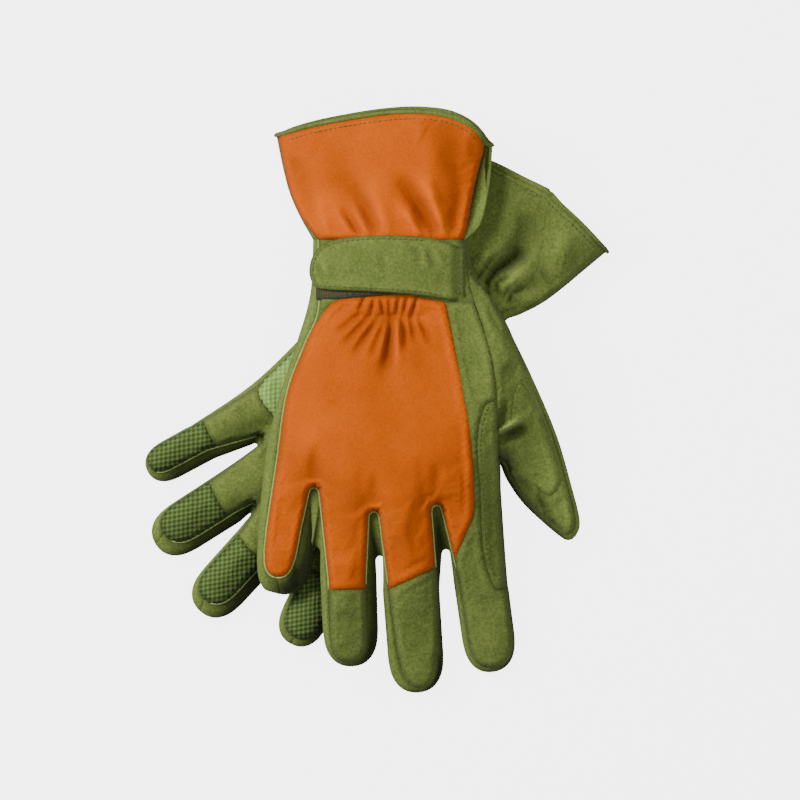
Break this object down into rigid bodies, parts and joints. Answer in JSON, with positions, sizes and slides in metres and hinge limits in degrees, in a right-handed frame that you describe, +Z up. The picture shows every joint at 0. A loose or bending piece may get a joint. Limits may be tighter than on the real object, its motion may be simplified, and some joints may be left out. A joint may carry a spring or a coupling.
{
  "type": "gauntlet gardening gloves",
  "caption": "Pair of gauntlet gardening gloves lying crossed: stretch backs, leather palms, textured grip fingertips, flared cuffs and hook-and-loop wrist straps.",
  "frame": {"origin": "centre of the pair's footprint, on the table the gloves lie on", "axes": "+Z up, off the table; -Y the way the right glove's fingers point; +X the right glove's thumb side. The left glove lies under it, palm up, its fingers pointing to -X -Y, 49.5 degrees clockwise of the right glove's seen from above"},
  "size_m": [0.2128, 0.2686, 0.0513],
  "materials": {
    "orange_fabric": "orange stretch twill, matt",
    "green_leather": "olive green synthetic suede, matt",
    "grip_fabric": "green honeycomb grip mesh",
    "dark_loop": "dark fuzzy hook-and-loop tape",
    "elastic": "undyed shirring elastic"
  },
  "bodies": {
    "left_hand": {"left_back_elastic": "elastic", "left_back_panel": "orange_fabric", "left_cuff_back": "orange_fabric", "left_cuff_palm": "green_leather", "left_hem_binding": "green_leather", "left_index_back": "green_leather", "left_index_grip": "grip_fabric", "left_index_side_patch": "green_leather", "left_index_side_strip": "green_leather", "left_loop_patch": "dark_loop", "left_middle_grip": "grip_fabric", "left_middle_index_forchette": "green_leather", "left_middle_tip_back": "green_leather", "left_palm_elastic": "elastic", "left_palm_grip": "grip_fabric", "left_palm_panel": "green_leather", "left_pinky_grip": "grip_fabric", "left_pinky_ring_forchette": "green_leather", "left_pinky_side_strip": "green_leather", "left_ring_grip": "grip_fabric", "left_ring_middle_forchette": "green_leather", "left_ring_tip_back": "green_leather", "left_strap_anchor": "green_leather", "left_thumb_back": "green_leather", "left_thumb_front": "green_leather", "left_thumb_patch": "green_leather", "left_thumb_side_strip": "green_leather", "left_wrist_band": "green_leather"},
    "right_hand": {"right_back_elastic": "elastic", "right_back_panel": "orange_fabric", "right_cuff_back": "orange_fabric", "right_cuff_palm": "green_leather", "right_hem_binding": "green_leather", "right_index_back": "green_leather", "right_index_grip": "grip_fabric", "right_index_side_patch": "green_leather", "right_index_side_strip": "green_leather", "right_loop_patch": "dark_loop", "right_middle_grip": "grip_fabric", "right_middle_index_forchette": "green_leather", "right_middle_tip_back": "green_leather", "right_palm_elastic": "elastic", "right_palm_grip": "grip_fabric", "right_palm_panel": "green_leather", "right_pinky_grip": "grip_fabric", "right_pinky_ring_forchette": "green_leather", "right_pinky_side_strip": "green_leather", "right_ring_grip": "grip_fabric", "right_ring_middle_forchette": "green_leather", "right_ring_tip_back": "green_leather", "right_strap_anchor": "green_leather", "right_thumb_back": "green_leather", "right_thumb_front": "green_leather", "right_thumb_patch": "green_leather", "right_thumb_side_strip": "green_leather", "right_wrist_band": "green_leather"},
    "right_strap": {"right_hook_patch": "dark_loop", "right_wrist_strap": "green_leather"},
    "left_strap": {"left_hook_patch": "dark_loop", "left_wrist_strap": "green_leather"}
  },
  "joints": [
    {"name": "right_glove_lift", "type": "slide", "parent": "left_hand", "child": "right_hand", "axis": [0, 0, 1], "range_m": [0, 0.08]},
    {"name": "right_strap_peel", "type": "hinge", "parent": "right_hand", "child": "right_strap", "pos_m": [0.03364, 0.05956, 0.04774], "axis": [0, 1, 0], "range_deg": [0, 160]},
    {"name": "left_strap_peel", "type": "hinge", "parent": "left_hand", "child": "left_strap", "pos_m": [0.05795, 0.03574, 0.0022], "axis": [-0.6494, -0.7604, 0], "range_deg": [0, 179.5]}
  ]
}
